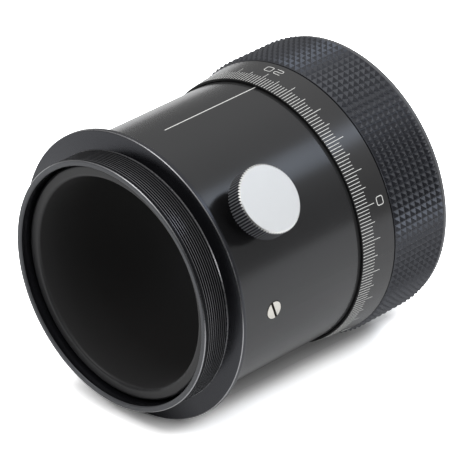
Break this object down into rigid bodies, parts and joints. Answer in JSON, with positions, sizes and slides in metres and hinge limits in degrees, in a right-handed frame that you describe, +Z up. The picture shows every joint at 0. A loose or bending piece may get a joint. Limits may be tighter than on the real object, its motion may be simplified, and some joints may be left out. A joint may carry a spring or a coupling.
{
  "type": "helical focuser",
  "caption": "Helical focuser: a knurled ring with a scale turns on a helicoid and carries a keyed drawtube along a flanged barrel with a male thread and a lock screw.",
  "frame": {"origin": "on the optical axis at the front face of the flange, where the front thread seats", "axes": "+Y along the optical axis from the threaded front end to the knurled ring, +Z up as the focuser lies on a bench with its index line on top, +X to the key screw's side"},
  "size_m": [0.0836, 0.0919, 0.083],
  "materials": {
    "black_anodised": "satin black anodised",
    "matte_black": "matte black anodised",
    "turned_aluminium": "turned face, black knurled edge",
    "bright_steel": "nickel plated",
    "dark_steel": "black oxide",
    "bronze": "turned",
    "slide_plastic": "moulded",
    "felt": "black felt"
  },
  "bodies": {
    "barrel": {"front_flange": "black_anodised", "main_barrel": "black_anodised", "helicoid_nut": "bronze", "guide_band": "slide_plastic", "light_seal": "felt", "key_screw": "bright_steel", "key_shoe": "bronze"},
    "drawtube": {"drawtube": "matte_black", "retaining_ring": "black_anodised", "retaining_ring_screws": "dark_steel", "front_thrust_washer": "slide_plastic", "rear_thrust_washer": "slide_plastic", "rear_adapter": "black_anodised", "rear_adapter_screws": "dark_steel"},
    "focus_ring": {"helicoid_sleeve": "black_anodised", "scale_ring": "black_anodised", "grip_ring": "black_anodised", "grip_screws": "dark_steel"},
    "lock_pad": {"lock_pad": "slide_plastic"},
    "lock_screw": {"lock_stud": "bright_steel", "lock_knob": "turned_aluminium"}
  },
  "joints": [
    {"name": "drawtube_slide", "type": "slide", "parent": "barrel", "child": "drawtube", "axis": [0, 1, 0], "range_m": [-0.0201, 0.0049]},
    {"name": "focus_ring_turn", "type": "hinge", "parent": "drawtube", "child": "focus_ring", "pos_m": [0, 0, 0], "axis": [0, 1, 0], "range_deg": [-70, 289]},
    {"name": "lock_pad_slide", "type": "slide", "parent": "barrel", "child": "lock_pad", "axis": [0.7524, 0, 0.6587], "range_m": [-0.0002, 0.0012]},
    {"name": "lock_screw_turn", "type": "hinge", "parent": "lock_pad", "child": "lock_screw", "pos_m": [0.03, 0.01565, 0.02626], "axis": [0.7524, 0, 0.6587], "range_deg": [-90, 540]}
  ],
  "couplings": [
    {"joint": "drawtube_slide", "follows": "focus_ring_turn", "m_per_rad": -0.0039789},
    {"joint": "lock_screw_turn", "follows": "lock_pad_slide", "rad_per_m": 7854}
  ]
}
